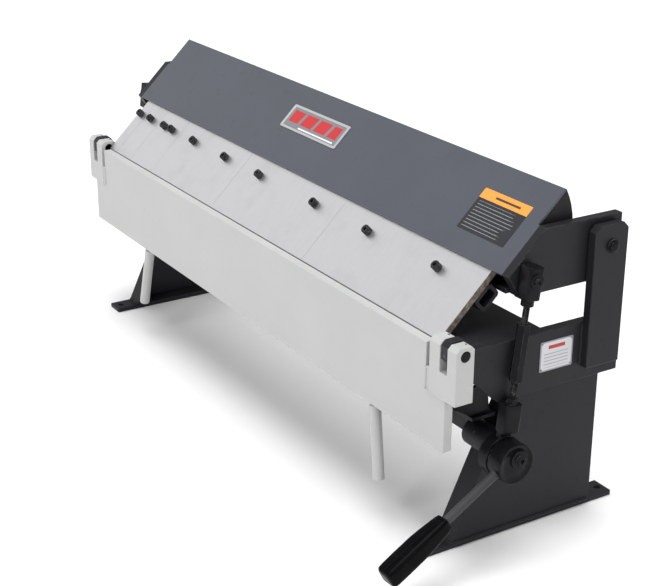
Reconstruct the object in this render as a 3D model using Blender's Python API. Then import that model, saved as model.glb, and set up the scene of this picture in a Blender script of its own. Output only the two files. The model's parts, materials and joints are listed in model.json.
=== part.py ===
"""Bench pan and box brake, 36 inch class: finger clamp beam, bending leaf, eccentric clamps.

World frame in metres: +X to the machine's right, -Y to the front, +Z up, feet on Z = 0.
Most dimensions are given in millimetres in the side view, as (y, z) with y measured
back from the bend line; side() turns them into world metres.
"""
import math

import bmesh
import bpy
from mathutils import Matrix, Vector

MM = 0.001
BEND_Y = -80.75         # world Y of the bend line, so the outline is centred on Y = 0
BEND_Z = 278.8          # height of the bend line
SLOPE = math.radians(44.1)   # the fingers lean back from the bend line
GAP = 0.3               # paint and fit clearance between touching pieces

# plan (X) positions, one side; the other side mirrors them
FORM_W = 914.4
FOOT_X = (431.5, 463.0)
FOOT_T = 7.0
FOOT_Y = (-11.0, 281.0)
FOOT_HOLE_R = 4.5
STAND_T = 5.0
STAND_TOP = 200.4
STAND_REAR = 243.0
STAND_FRONT = (21.2, 0.4645)     # y at z = 0, and y per z up the sloping front edge
END_X = (480.0, 492.5)
END_TOP = 275.2
END_BOT = 200.7
UPRIGHT_X = (492.8, 505.0)
UPRIGHT_Y = (183.0, 233.0)
UPRIGHT_Z = (219.0, 395.0)
ARM_X = (478.5, 491.0)
ARM_TOP = 401.8
ARM_BOT = 324.6
ARM_REAR = 234.3
PIVOT = (209.0, 369.0)
PIVOT_R = 6.0
PLATE_L = (101.0, 172.4, 225.0)  # front plate: lower edge, knee at the arm top, top edge
PLATE_OFF = (0.35, 4.1)
FINGER_T = 8.0
FINGER_TOP = 114.0
FINGERS = (1, 2, 3, 8, 10, 12)   # widths in inches, left to right
INCH = 25.4
SCREW_L = 75.2
BAR_L = (60.0, 90.0)
BAR_OFF = (-8.35, -30.0)
LEAF_X = 490.0
LEAF_T = 12.5
LEAF_H = 125.2
NOTCH_X = 452.0
CLEVIS_Z = (220.0, 290.0)
CLEVIS_Y = (-13.6, 12.0)
SLOT_X = (479.3, 493.3)
SLOT_Z = 252.6
CLEVIS_X = (459.5, 510.0)
PIN_R = 6.5
LEAF_HANDLES = (-305.0, 339.0)   # where the two pull bars meet the leaf's lower edge
LINK_X = 502.0
YOKE = (93.0, 350.0)             # upper link pivot, on the arm
CAM = (66.6, 133.7)              # eccentric centre when clamped
SHAFT = (69.4, 140.2)            # fixed pivot of the eccentric
HUB_X = (504.0, 527.0)
HUB_R = 25.0
CAM_R = 17.0
STRAP_X = (486.8, 503.2)
LEVER_ANGLE = math.radians(26.6)  # the right lever points forward and this much down
LEFT_LEVER_TURN = math.radians(-136.6)  # the left lever's own clocking on its hub
LEVER_X = 515.5
BAR_R = 5.4                      # lever bar
LEVER_SPLAY = math.radians(4.3)  # the levers lean outward past the hinge blocks
SEG = 32

PAINT_DARK = (0.045, 0.047, 0.053)
PAINT_PLATE = (0.135, 0.148, 0.168)
PAINT_WHITE = (0.60, 0.61, 0.60)
STEEL = (0.56, 0.56, 0.57)
BLACK = (0.012, 0.012, 0.014)


def clear_scene():
    for ob in list(bpy.data.objects):
        bpy.data.objects.remove(ob, do_unlink=True)


def material(name, colour, rough, metal):
    m = bpy.data.materials.new(name)
    m.use_nodes = True
    b = m.node_tree.nodes.get("Principled BSDF")
    b.inputs["Base Color"].default_value = (*colour, 1.0)
    b.inputs["Roughness"].default_value = rough
    b.inputs["Metallic"].default_value = metal
    m.diffuse_color = (*colour, 1.0)
    return m


def paint(ob, colour, rough=0.5, metal=0.0):
    ob.data.materials.clear()
    ob.data.materials.append(material("mat_" + ob.name, colour, rough, metal))
    return ob


def side(y, z):
    """World Y and Z in metres of a side-view point in millimetres."""
    return (BEND_Y + y) * MM, z * MM


def on_slope(length, off):
    """Side-view point at a length up the finger slope and an offset out of its face."""
    y = length * math.cos(SLOPE) - off * math.sin(SLOPE)
    z = BEND_Z + length * math.sin(SLOPE) + off * math.cos(SLOPE)
    return y, z


def new_object(name, bm):
    bmesh.ops.remove_doubles(bm, verts=bm.verts, dist=1e-7)
    bmesh.ops.recalc_face_normals(bm, faces=bm.faces)
    me = bpy.data.meshes.new(name)
    bm.to_mesh(me)
    bm.free()
    ob = bpy.data.objects.new(name, me)
    bpy.context.scene.collection.objects.link(ob)
    return ob


def prism(name, outline, x0, x1):
    """A plate cut to a side-view outline, from x0 to x1."""
    bm = bmesh.new()
    low = [bm.verts.new((x0 * MM, *side(y, z))) for y, z in outline]
    high = [bm.verts.new((x1 * MM, *side(y, z))) for y, z in outline]
    bm.faces.new(low)
    bm.faces.new(list(reversed(high)))
    n = len(outline)
    for i in range(n):
        j = (i + 1) % n
        bm.faces.new((low[i], high[i], high[j], low[j]))
    return new_object(name, bm)


def box(name, xs, ys, zs):
    y0, y1 = ys
    z0, z1 = zs
    return prism(name, [(y0, z0), (y1, z0), (y1, z1), (y0, z1)], xs[0], xs[1])


def rod(name, start, end, r, seg=SEG, r2=None, turn=0.0):
    """A round bar between two world points in millimetres (x, y, z), y from the bend line."""
    a = Vector((start[0] * MM, *side(start[1], start[2])))
    b = Vector((end[0] * MM, *side(end[1], end[2])))
    d = b - a
    bm = bmesh.new()
    bmesh.ops.create_cone(bm, cap_ends=True, segments=seg, radius1=r * MM,
                          radius2=(r if r2 is None else r2) * MM, depth=d.length)
    spin = Matrix.Rotation(turn, 4, "Z")
    aim = d.to_track_quat("Z", "Y").to_matrix().to_4x4()
    bmesh.ops.transform(bm, matrix=Matrix.Translation((a + b) / 2) @ aim @ spin, verts=bm.verts)
    return new_object(name, bm)


def disc(name, centre, r, x0, x1, seg=SEG):
    return rod(name, (x0, *centre), (x1, *centre), r, seg)


def cut(ob, *tools, op="DIFFERENCE"):
    """Apply exact booleans one after another and discard the tools."""
    for tool in tools:
        m = ob.modifiers.new("cut", "BOOLEAN")
        m.operation = op
        m.solver = "EXACT"
        m.object = tool
        bpy.context.view_layer.update()
        done = bpy.data.meshes.new_from_object(ob.evaluated_get(bpy.context.evaluated_depsgraph_get()))
        ob.modifiers.clear()
        ob.data = done
        bpy.data.objects.remove(tool, do_unlink=True)
    return ob


def join(ob, *others):
    return cut(ob, *others, op="UNION")


def soften(ob, width, segments=1, angle=40.0):
    m = ob.modifiers.new("soft", "BEVEL")
    m.width = width * MM
    m.segments = segments
    m.limit_method = "ANGLE"
    m.angle_limit = math.radians(angle)
    m.use_clamp_overlap = True
    m.miter_outer = "MITER_ARC" if segments > 1 else "MITER_SHARP"
    return ob


def smooth_round(ob, angle=35.0):
    for p in ob.data.polygons:
        p.use_smooth = True
    ob.data.set_sharp_from_angle(angle=math.radians(angle))
    return ob


def mirrored(ob, name):
    """A left-hand copy of a right-hand piece."""
    bm = bmesh.new()
    bm.from_mesh(ob.data)
    bmesh.ops.scale(bm, vec=(-1, 1, 1), verts=bm.verts)
    bmesh.ops.reverse_faces(bm, faces=bm.faces)
    me = bpy.data.meshes.new(name)
    bm.to_mesh(me)
    bm.free()
    twin = bpy.data.objects.new(name, me)
    bpy.context.scene.collection.objects.link(twin)
    for m in ob.modifiers:
        n = twin.modifiers.new(m.name, m.type)
        n.width = m.width
        n.segments = m.segments
        n.limit_method = m.limit_method
        n.angle_limit = m.angle_limit
        n.miter_outer = m.miter_outer
    return twin


def pair(ob, colour, rough, metal=0.0, round_piece=False):
    """Finish a right-hand piece and add its left-hand twin."""
    twin = mirrored(ob, ob.name.replace("right_", "left_"))
    for o in (ob, twin):
        if round_piece:
            smooth_round(o)
        paint(o, colour, rough, metal)
    return ob, twin


def origin_at(ob, x, y, z):
    """Move an object's origin to a side-view joint position without moving its mesh."""
    p = Vector((x * MM, *side(y, z)))
    ob.data.transform(Matrix.Translation(-p))
    ob.location = p
    return ob


# ---- fixed frame ----

def front_edge_y(z):
    return STAND_FRONT[0] + STAND_FRONT[1] * z


def build_feet():
    y0, y1 = FOOT_Y
    foot = box("right_foot", FOOT_X, FOOT_Y, (0.0, FOOT_T))
    mid = sum(FOOT_X) / 2
    for y in (y0 + 12.0, y1 - 10.0):
        cut(foot, rod("drill", (mid, y, -5.0), (mid, y, FOOT_T + 5.0), FOOT_HOLE_R, 24))
    soften(foot, 1.0)
    pair(foot, PAINT_DARK, 0.45)


def build_stands():
    z0, z1 = FOOT_T + GAP, STAND_TOP
    rear = STAND_REAR
    outer = [(front_edge_y(z0), z0), (rear, z0), (rear, z1), (front_edge_y(z1), z1)]
    stand = prism("right_stand", outer, *FOOT_X)
    t = STAND_T
    slant = t * math.hypot(1.0, STAND_FRONT[1])
    za, zb = z0 - 5.0, z1 - t
    inner = [(front_edge_y(za) + slant, za), (rear - t, za), (rear - t, zb), (front_edge_y(zb) + slant, zb)]
    cut(stand, prism("hollow", inner, FOOT_X[0] - 5.0, FOOT_X[1] - t))
    soften(stand, 0.9)
    pair(stand, PAINT_DARK, 0.42)


def build_bed():
    """The bed: a deep channel, top face up, under the fingers."""
    t = 10.0
    outline = [(0.4, END_BOT), (t, END_BOT), (t, END_TOP - t), (130.0 - t, END_TOP - t),
               (130.0 - t, END_BOT), (130.0, END_BOT), (130.0, END_TOP), (0.4, END_TOP)]
    bed = prism("bed_channel", outline, -END_X[0] + GAP, END_X[0] - GAP)
    for s in (-1, 1):
        xs = sorted((s * (NOTCH_X - 1.5), s * (END_X[0] + 5)))
        cut(bed, box("relief", xs, (-5.0, 17.6), (END_BOT - 5, END_TOP + 5)))
    soften(bed, 0.6)
    paint(bed, PAINT_DARK, 0.4)


def build_bed_ends():
    ear = [(-7.4, 291.6), (-12.4, 285.6)]
    outline = [(62.0, END_BOT), (STAND_REAR, END_BOT), (STAND_REAR, END_TOP), (23.0, END_TOP),
               (14.5, 287.0), (9.8, 291.6)] + ear + [(-12.4, 269.0)]
    end = prism("right_bed_end", outline, *END_X)
    cut(end, disc("bore", (0.0, BEND_Z), PIN_R + GAP, END_X[0] - 5, END_X[1] + 5))
    soften(end, 0.5, angle=50.0)
    pair(end, PAINT_DARK, 0.42)


def build_uprights():
    y0, y1 = UPRIGHT_Y
    z0, z1 = UPRIGHT_Z
    c = 7.0
    outline = [(y0, z0), (y1, z0), (y1, z1 - c), (y1 - c, z1), (y0 + c, z1), (y0, z1 - c)]
    up = prism("right_upright", outline, *UPRIGHT_X)
    cut(up, disc("bore", PIVOT, PIVOT_R + GAP, UPRIGHT_X[0] - 5, UPRIGHT_X[1] + 5))
    soften(up, 0.8, angle=50.0)
    pair(up, PAINT_DARK, 0.42)


def build_pivot_pins():
    x0, x1 = ARM_X[0] - 3.0, UPRIGHT_X[1] + 6.0
    pin = disc("right_pivot_pin", PIVOT, PIVOT_R, x0, x1)
    groove = disc("groove", PIVOT, PIVOT_R + 3, UPRIGHT_X[1] + 1.0, UPRIGHT_X[1] + 2.4)
    cut(groove, disc("core", PIVOT, PIVOT_R - 1.2, UPRIGHT_X[1] - 5, UPRIGHT_X[1] + 9))
    cut(pin, groove)
    pair(pin, BLACK, 0.35, 0.6, True)


def build_tie_bar():
    """Angle that ties the stands together, its flange over the bosses, with a gusset up to each bed end."""
    web_y = (67.0, 72.0)
    web_z = (133.0, 160.0)
    flange_z = (158.4, 163.4)
    bar = box("front_tie_bar", (-439.6, 439.6), web_y, web_z)
    join(bar, box("flange", (-452.0, 452.0), (58.0, 93.0), flange_z))
    top = END_BOT - GAP
    gusset = [(10.5, top), (84.0, top), (88.0, flange_z[1] - 1.0), (62.0, flange_z[1] - 1.0), (10.5, top - 10.0)]
    for s in (-1, 1):
        xs = sorted((s * 440.0, s * 446.0))
        join(bar, prism("gusset", gusset, *xs))
    soften(bar, 0.6)
    paint(bar, PAINT_DARK, 0.45)


def build_cam_bosses():
    """Round boss on the stand's front flange that carries the eccentric's pivot."""
    boss = disc("right_cam_boss", SHAFT, 17.5, 440.0, 485.5, 36)
    f0, f1 = 0.0, 300.0
    keep = GAP * math.hypot(1.0, STAND_FRONT[1])
    wedge = [(front_edge_y(f0) - keep, f0), (300.0, f0), (300.0, f1), (front_edge_y(f1) - keep, f1)]
    cut(boss, prism("seat", wedge, 400.0, FOOT_X[1] + 1.0))
    cut(boss, disc("bore", SHAFT, 6.0 + GAP, 430.0, 500.0))
    soften(boss, 0.6, angle=60.0)
    pair(boss, PAINT_DARK, 0.42, 0.0, True)


def build_cam_bolts():
    """Shoulder bolt, washer and socket head that the eccentric hub turns on."""
    bolt = disc("right_cam_bolt", SHAFT, 6.0, 440.6, 528.0)
    join(bolt, disc("washer", SHAFT, 11.5, HUB_X[1] + GAP, HUB_X[1] + 2.4),
         disc("head", SHAFT, 5.6, HUB_X[1] + 1.0, HUB_X[1] + 6.4, 24))
    cut(bolt, disc("socket", SHAFT, 2.9, HUB_X[1] + 3.2, HUB_X[1] + 9.0, 6))
    pair(bolt, BLACK, 0.35, 0.6, True)


# ---- clamp beam ----

def build_front_plate():
    """Flat front skin of the beam; its ends step in above the arms."""
    a, b, c = PLATE_L
    w, u = ARM_X[0] - GAP, 475.2
    flat = [(-w, a), (w, a), (w, b), (u, b), (u, c), (-u, c), (-u, b), (-w, b)]
    bm = bmesh.new()
    faces = []
    for off in PLATE_OFF:
        faces.append([bm.verts.new((x * MM, *side(*on_slope(l, off)))) for x, l in flat])
    bm.faces.new(faces[0])
    bm.faces.new(list(reversed(faces[1])))
    n = len(flat)
    for i in range(n):
        j = (i + 1) % n
        bm.faces.new((faces[0][i], faces[1][i], faces[1][j], faces[0][j]))
    plate = new_object("beam_front_plate", bm)
    soften(plate, 0.5)
    paint(plate, PAINT_PLATE, 0.4)


def build_arms():
    outline = [on_slope(PLATE_L[0], PLATE_OFF[1]), (90.0, 321.6), (121.0, ARM_BOT),
               (ARM_REAR, ARM_BOT), (ARM_REAR, ARM_TOP), on_slope(PLATE_L[1], PLATE_OFF[1])]
    outline[-1] = (outline[-1][0], ARM_TOP)
    arm = prism("right_arm", outline, *ARM_X)
    cut(arm, disc("bore", PIVOT, PIVOT_R + GAP, ARM_X[0] - 5, ARM_X[1] + 5),
        disc("bore", YOKE, 5.0 + GAP, ARM_X[0] - 5, ARM_X[1] + 5))
    soften(arm, 0.7, angle=50.0)
    pair(arm, PAINT_DARK, 0.42)


def build_beam_ends():
    """Web plates that close the beam's hollow just inside the arms."""
    top = on_slope(PLATE_L[2] - 0.5, -0.1)
    back = [top, (161.0, 437.0), (166.0, 427.0), (169.6, 417.0), (172.4, 405.0), (173.6, 393.0), (174.0, 380.0)]
    outline = back + [(174.0, 321.2), (92.5, 321.2), on_slope(118.0, -0.1)]
    web = prism("right_beam_end", outline, 466.5, 474.9)
    soften(web, 0.5, angle=60.0)
    pair(web, PAINT_DARK, 0.42)


def build_beam_back():
    """Bent sheet that closes the beam behind and meets the front plate near its top."""
    outline = [(173.4, 328.4), (173.4, 391.0), (171.6, 406.0), (165.2, 426.0), (160.2, 433.4), (155.2, 428.7),
               (159.6, 422.6), (165.6, 404.0), (167.4, 390.6), (167.4, 328.4)]
    back = prism("beam_back_plate", outline, -466.2, 466.2)
    paint(back, PAINT_DARK, 0.42)


def build_beam_floor():
    floor = box("beam_floor_plate", (-466.2, 466.2), (86.6, 173.4), (321.2, 328.0))
    soften(floor, 0.5)
    paint(floor, PAINT_DARK, 0.42)


def build_clamp_bar():
    """Rectangular tube behind the fingers; the finger screws and their nuts slide in it."""
    l0, l1 = BAR_L
    o0, o1 = BAR_OFF
    r = 5.0

    def rounded(l0, l1, o0, o1, r, n):
        pts = []
        for cl, co, a0 in ((l1 - r, o0 - r, 0), (l0 + r, o0 - r, 90), (l0 + r, o1 + r, 180), (l1 - r, o1 + r, 270)):
            for i in range(n + 1):
                a = math.radians(a0 + 90.0 * i / n)
                pts.append(on_slope(cl + r * math.cos(a), co + r * math.sin(a)))
        return pts

    w = FORM_W / 2
    tube = prism("finger_clamp_tube", rounded(l0, l1, o0, o1, r, 4), -w, w)
    cut(tube, prism("hollow", rounded(l0 + 4.2, l1 - 4.2, o0 - 4.2, o1 + 4.2, 2.0, 2), -w - 5, w + 5))
    for x in screw_positions():
        a = on_slope(SCREW_L, 5.0)
        b = on_slope(SCREW_L, o0 - 8.0)
        cut(tube, rod("hole", (x, *a), (x, *b), 3.4, 16))
    smooth_round(tube, 50.0)
    paint(tube, PAINT_DARK, 0.45)


def finger_edges():
    """X of each finger's left and right edge, from the left end."""
    out = []
    x = -FORM_W / 2
    for inches in FINGERS:
        out.append((x, x + inches * INCH))
        x += inches * INCH
    return out


def screw_positions():
    out = []
    for (a, b), inches in zip(finger_edges(), FINGERS):
        mid = (a + b) / 2
        half = {1: 0.0, 2: 0.0, 3: 13.0, 8: 51.0, 10: 75.0, 12: 75.0}[inches]
        out += [mid] if half == 0.0 else [mid - half, mid + half]
    return out


def build_fingers():
    """Six removable fingers, sharp nose on the bend line, held by socket screws."""
    t = FINGER_T
    nose_y = 0.9
    floor_z = END_TOP + 0.35
    lift = (nose_y * math.tan(SLOPE)) + BEND_Z
    back_l = (floor_z - BEND_Z + t * math.cos(SLOPE)) / math.sin(SLOPE)
    outline = [(nose_y, lift), (nose_y, floor_z), on_slope(back_l, -t),
               on_slope(FINGER_TOP, -t), on_slope(FINGER_TOP, 0.0)]
    for (a, b), inches in zip(finger_edges(), FINGERS):
        f = prism("finger_%02d_inch" % inches, outline, a + 0.15, b - 0.15)
        for x in screw_positions():
            if a < x < b:
                cut(f, rod("hole", (x, *on_slope(SCREW_L, 5.0)), (x, *on_slope(SCREW_L, -15.0)), 3.4, 16))
        paint(f, STEEL, 0.32, 1.0)


def build_finger_screws():
    """Socket cap screw with the square nut that grips inside the tube."""
    for i, x in enumerate(screw_positions()):
        name = "finger_screw_%02d" % (i + 1)
        head = rod(name, (x, *on_slope(SCREW_L, GAP)), (x, *on_slope(SCREW_L, 9.0)), 5.6, 24)
        join(head, rod("shank", (x, *on_slope(SCREW_L, 2.0)), (x, *on_slope(SCREW_L, -19.0)), 3.0, 16))
        nut = rod("nut", (x, *on_slope(SCREW_L, -13.0)), (x, *on_slope(SCREW_L, -17.5)), 7.6, 4, turn=math.pi / 4)
        join(head, nut)
        cut(head, rod("socket", (x, *on_slope(SCREW_L, 4.4)), (x, *on_slope(SCREW_L, 12.0)), 3.1, 6))
        smooth_round(head)
        paint(head, BLACK, 0.35, 0.6)


# ---- bending leaf ----

def build_leaf():
    """The bending leaf: a plate hanging from the bend line, notched for its hinge blocks."""
    z0 = BEND_Z - LEAF_H
    leaf = box("leaf_plate", (-LEAF_X, LEAF_X), (-LEAF_T, -GAP), (z0, BEND_Z))
    for s in (-1, 1):
        xs = sorted((s * NOTCH_X, s * (LEAF_X + 20)))
        cut(leaf, box("notch", xs, (-30.0, 30.0), (CLEVIS_Z[0] - GAP, BEND_Z + 20)))
    soften(leaf, 0.6)
    paint(leaf, PAINT_WHITE, 0.4)


def build_clevises():
    """Hinge block: two lugs either side of the bed end's ear, on a base let into the leaf."""
    y0, y1 = CLEVIS_Y
    z0, z1 = CLEVIS_Z
    c = 4.0
    outline = [(y0, z0), (y1, z0), (y1, z1 - c), (y1 - c, z1), (y0 + c + 1, z1), (y0, z1 - c - 1)]
    block = prism("right_hinge_block", outline, *CLEVIS_X)
    join(block, box("shoulder", (NOTCH_X + GAP, CLEVIS_X[0] + 2), (y0 + 1.2, y1 - 9.0), (z0, SLOT_Z - 3.0)))
    slot = [(y0 - 5, SLOT_Z), (-1.0, SLOT_Z), (y1 + 5, SLOT_Z - 16.0), (y1 + 5, z1 + 5), (y0 - 5, z1 + 5)]
    cut(block, prism("slot", slot, *SLOT_X),
        disc("bore", (0.0, BEND_Z), PIN_R + GAP, CLEVIS_X[0] - 5, CLEVIS_X[1] + 5))
    soften(block, 0.6, angle=50.0)
    pair(block, PAINT_WHITE, 0.4)


def build_hinge_pins():
    pin = disc("right_hinge_pin", (0.0, BEND_Z), PIN_R, CLEVIS_X[0] + 6.0, CLEVIS_X[1] - 0.4)
    soften(pin, 0.6, angle=60.0)
    pair(pin, BLACK, 0.35, 0.6, True)


def build_leaf_handles():
    for side_name, x in zip(("left", "right"), LEAF_HANDLES):
        s = math.copysign(1.0, x)
        z0 = BEND_Z - LEAF_H - 2.2
        drop = 95.0
        start = (x, -5.0, z0)
        end = (x + s * 0.199 * drop, -5.0 - 0.0555 * drop, z0 - drop)
        bar = rod(side_name + "_leaf_handle", start, end, 7.5, 32)
        soften(bar, 1.2, 2, angle=60.0)
        smooth_round(bar)
        paint(bar, PAINT_WHITE, 0.42)


# ---- clamp links ----

def link_axis():
    u, e = Vector(YOKE), Vector(CAM)
    d = e - u
    return u, d.normalized(), d.length


def along(dist):
    u, d, _ = link_axis()
    p = u + d * dist
    return p.x, p.y


def link_rod(name, d0, d1, r, seg=SEG, turn=0.0):
    return rod(name, (LINK_X, *along(d0)), (LINK_X, *along(d1)), r, seg, turn=turn)


def link_block(name, xs, half, d0, d1):
    """A block square to the link, half its depth either side of the link's line."""
    _, d, _ = link_axis()
    n = Vector((-d.y, d.x))
    pts = []
    for dist, s in ((d0, -1), (d0, 1), (d1, 1), (d1, -1)):
        p = Vector(along(dist)) + n * (half * s)
        pts.append((p.x, p.y))
    return prism(name, pts, *xs)


def build_upper_links():
    yoke = link_block("right_link_yoke", (492.0, 511.8), 10.0, -16.0, 24.0)
    soften(yoke, 1.2)
    cut(yoke, disc("bore", YOKE, 5.0 + GAP, 480.0, 530.0))
    join(yoke, link_rod("collar", 20.0, 31.5, 7.6, 24), link_rod("thread", 28.0, 84.0, 4.0, 24))
    _, twin = pair(yoke, BLACK, 0.4, 0.3)
    for o in (yoke, twin):
        smooth_round(o, 40.0)


def build_turnbuckles():
    nut = link_rod("right_turnbuckle", 53.3, 123.3, 8.05, 6, turn=math.pi / 6)
    soften(nut, 0.7)
    cut(nut, link_rod("bore", 40.0, 140.0, 4.0 + GAP, 24))
    pair(nut, BLACK, 0.35, 0.4)


def build_straps():
    """Lower rod end: block and ring that ride on the eccentric."""
    length = link_axis()[2]
    ring = disc("right_link_strap", CAM, 26.0, *STRAP_X, 40)
    join(ring, link_block("neck", (493.2, STRAP_X[1] - 0.2), 9.0, 180.0, length - 20.0))
    join(ring, link_block("block", (493.2, 510.4), 12.0, 150.8, 186.4))
    cut(ring, disc("bore", CAM, CAM_R + 2.2, 470.0, 520.0, 36))
    join(ring, link_rod("nut", 144.5, 152.0, 6.8, 24), link_rod("thread", 94.0, 148.0, 4.0, 24))
    pair(ring, BLACK, 0.4, 0.3)
    for n in ("right_link_strap", "left_link_strap"):
        smooth_round(bpy.data.objects[n], 40.0)


def build_yoke_bolts():
    bolt = disc("right_yoke_bolt", YOKE, 5.0, ARM_X[0] - 2.0, 513.0)
    join(bolt, disc("washer", YOKE, 8.9, 512.1, 514.0), disc("head", YOKE, 4.6, 513.5, 518.4, 20))
    cut(bolt, disc("socket", YOKE, 2.4, 515.6, 521.0, 6))
    pair(bolt, BLACK, 0.35, 0.6, True)


# ---- eccentric levers ----

def lever_dir(left):
    a = math.pi + LEVER_ANGLE + (LEFT_LEVER_TURN if left else 0.0)
    return math.cos(a), math.sin(a)


def on_lever(dist, left):
    """Point on the lever's centre line; both levers are built on the right."""
    d = lever_dir(left)
    flat = dist * math.cos(LEVER_SPLAY)
    x = LEVER_X + (dist - 18.0) * math.sin(LEVER_SPLAY)
    return x, CAM[0] + d[0] * flat, CAM[1] + d[1] * flat


def grip_mesh(name, left):
    """Moulded grip: a rounded-square section that swells from a small neck."""
    stations = ((108.0, 8.6), (109.5, 9.4), (122.0, 10.4), (138.0, 11.7), (150.0, 12.3), (176.0, 12.5),
                (199.0, 12.4), (202.0, 11.6), (203.0, 9.6))
    sides = 28

    def world(dist):
        x, y, z = on_lever(dist, left)
        return Vector((x * MM, *side(y, z)))

    d = (world(200.0) - world(100.0)).normalized()
    up = Vector((1.0, 0.0, 0.0)).cross(d).normalized()
    out = d.cross(up)
    bm = bmesh.new()
    rings = []
    for dist, r in stations:
        ring = []
        for i in range(sides):
            a = 2 * math.pi * (i + 0.5) / sides
            q = (abs(math.cos(a)) ** 3.2 + abs(math.sin(a)) ** 3.2) ** (-1 / 3.2)
            v = out * (math.cos(a + 0.6) * r * q * MM) + up * (math.sin(a + 0.6) * r * q * MM)
            ring.append(bm.verts.new(world(dist) + v))
        rings.append(ring)
    bm.faces.new(rings[0])
    bm.faces.new(list(reversed(rings[-1])))
    for p, q in zip(rings, rings[1:]):
        for i in range(sides):
            j = (i + 1) % sides
            bm.faces.new((p[i], q[i], q[j], p[j]))
    return new_object(name, bm)


def build_levers():
    """Eccentric hub with its cam and bar in one piece, and the moulded grip on the bar."""
    for name, left in (("right", False), ("left", True)):
        hub = disc(name + "_cam_lever", CAM, HUB_R, *HUB_X, 44)
        soften(hub, 1.0, 2, angle=60.0)
        join(hub, disc("cam", CAM, CAM_R, STRAP_X[0] + 0.2, HUB_X[0] + 2.0, 36),
             rod("bar", on_lever(18.0, left), on_lever(150.0, left), BAR_R, 20))
        cut(hub, disc("bore", SHAFT, 6.0 + GAP, 470.0, 540.0))
        grip = grip_mesh(name + "_lever_grip", left)
        cut(grip, rod("socket", on_lever(90.0, left), on_lever(150.6, left), BAR_R + GAP, 20))
        for ob, rough in ((hub, 0.35), (grip, 0.3)):
            if left:
                bmesh_flip_x(ob)
            smooth_round(ob, 40.0)
            paint(ob, BLACK, rough, 0.5 if ob is not grip else 0.0)


def bmesh_flip_x(ob):
    """Reflect a piece to the machine's left side in place."""
    bm = bmesh.new()
    bm.from_mesh(ob.data)
    bmesh.ops.scale(bm, vec=(-1, 1, 1), verts=bm.verts)
    bmesh.ops.reverse_faces(bm, faces=bm.faces)
    bm.to_mesh(ob.data)
    bm.free()


def put_origins():
    """Every moving piece turns about its own origin, on its joint's axis."""
    ob = bpy.data.objects
    leaf = ["leaf_plate", "left_leaf_handle", "right_leaf_handle"]
    beam = ["beam_front_plate", "beam_back_plate", "beam_floor_plate", "finger_clamp_tube"]
    beam += [o.name for o in ob if o.name.startswith("finger_") and o.name != "finger_clamp_tube"]
    for s in ("left_", "right_"):
        leaf += [s + "hinge_block", s + "hinge_pin"]
        beam += [s + "arm", s + "beam_end", s + "yoke_bolt"]
    for n in leaf:
        origin_at(ob[n], 0.0, 0.0, BEND_Z)
    for n in beam:
        origin_at(ob[n], 0.0, *PIVOT)
    for sign, s in ((-1, "left_"), (1, "right_")):
        for n in ("cam_lever", "lever_grip"):
            origin_at(ob[s + n], sign * sum(HUB_X) / 2, *SHAFT)
        for n in ("link_yoke", "link_strap", "turnbuckle"):
            origin_at(ob[s + n], sign * LINK_X, *YOKE)


def main():
    clear_scene()
    build_feet()
    build_stands()
    build_bed()
    build_bed_ends()
    build_uprights()
    build_pivot_pins()
    build_tie_bar()
    build_cam_bosses()
    build_cam_bolts()
    build_front_plate()
    build_arms()
    build_beam_ends()
    build_beam_back()
    build_beam_floor()
    build_clamp_bar()
    build_fingers()
    build_finger_screws()
    build_leaf()
    build_clevises()
    build_hinge_pins()
    build_leaf_handles()
    build_upper_links()
    build_turnbuckles()
    build_straps()
    build_yoke_bolts()
    build_levers()
    put_origins()


main()
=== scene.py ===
# %% [markdown]
# # A bench brake for sheet metal, from frame to finished picture
#
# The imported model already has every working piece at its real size: stands, bed, clamp beam,
# fingers, leaf, links and levers. This lesson gives those pieces their finishes, and makes the
# turned and moulded pieces again with smooth surfaces, because round work shows its facets.
# Places come from the model's own joints and boxes where it has them, and the measures that are
# left, such as how thick a washer is, are written as named millimetres.

import json
import math

import bpy
import numpy as np
from mathutils import Matrix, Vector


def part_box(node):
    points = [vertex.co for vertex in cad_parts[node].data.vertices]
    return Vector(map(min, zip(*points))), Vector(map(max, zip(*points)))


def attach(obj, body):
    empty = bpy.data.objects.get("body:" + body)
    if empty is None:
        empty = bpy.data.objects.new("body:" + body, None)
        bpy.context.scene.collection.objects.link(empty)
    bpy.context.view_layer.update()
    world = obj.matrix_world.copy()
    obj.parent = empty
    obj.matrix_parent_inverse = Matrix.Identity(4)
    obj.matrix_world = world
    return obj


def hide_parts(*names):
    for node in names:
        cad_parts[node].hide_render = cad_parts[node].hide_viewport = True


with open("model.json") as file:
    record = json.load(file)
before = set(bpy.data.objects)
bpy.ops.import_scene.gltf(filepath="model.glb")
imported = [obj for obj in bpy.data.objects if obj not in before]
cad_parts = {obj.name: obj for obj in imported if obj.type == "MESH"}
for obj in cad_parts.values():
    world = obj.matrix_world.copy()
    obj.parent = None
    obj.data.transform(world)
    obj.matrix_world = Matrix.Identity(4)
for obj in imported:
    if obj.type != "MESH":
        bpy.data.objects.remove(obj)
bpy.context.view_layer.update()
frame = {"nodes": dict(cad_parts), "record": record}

# %% [markdown]
# ## Measures and landmarks
#
# A side view of the machine is easiest to think in: y runs back from the line that the sheet
# bends on, z runs up from the bench. The bend line is the leaf's own hinge line, so `at` adds
# the place of that joint, and each landmark below is read from the joint that turns about it.

# %% Landmarks from the joints
MM = 0.001
JOINTS = {j["name"]: np.array(j["pos_m"]) for j in frame["record"]["behaviour"]["joints"]}
BEND = JOINTS["leaf_swing"]
SIDES = {"right": 1.0, "left": -1.0}


def at(x, y, z):
    """World point in metres from side-view millimetres: x across, y back from the bend, z up."""
    return np.array((x * MM, BEND[1] + y * MM, z * MM))


def side_view(point):
    """The side-view millimetres (y, z) of a world point."""
    return np.array(((point[1] - BEND[1]) / MM, point[2] / MM))


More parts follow.
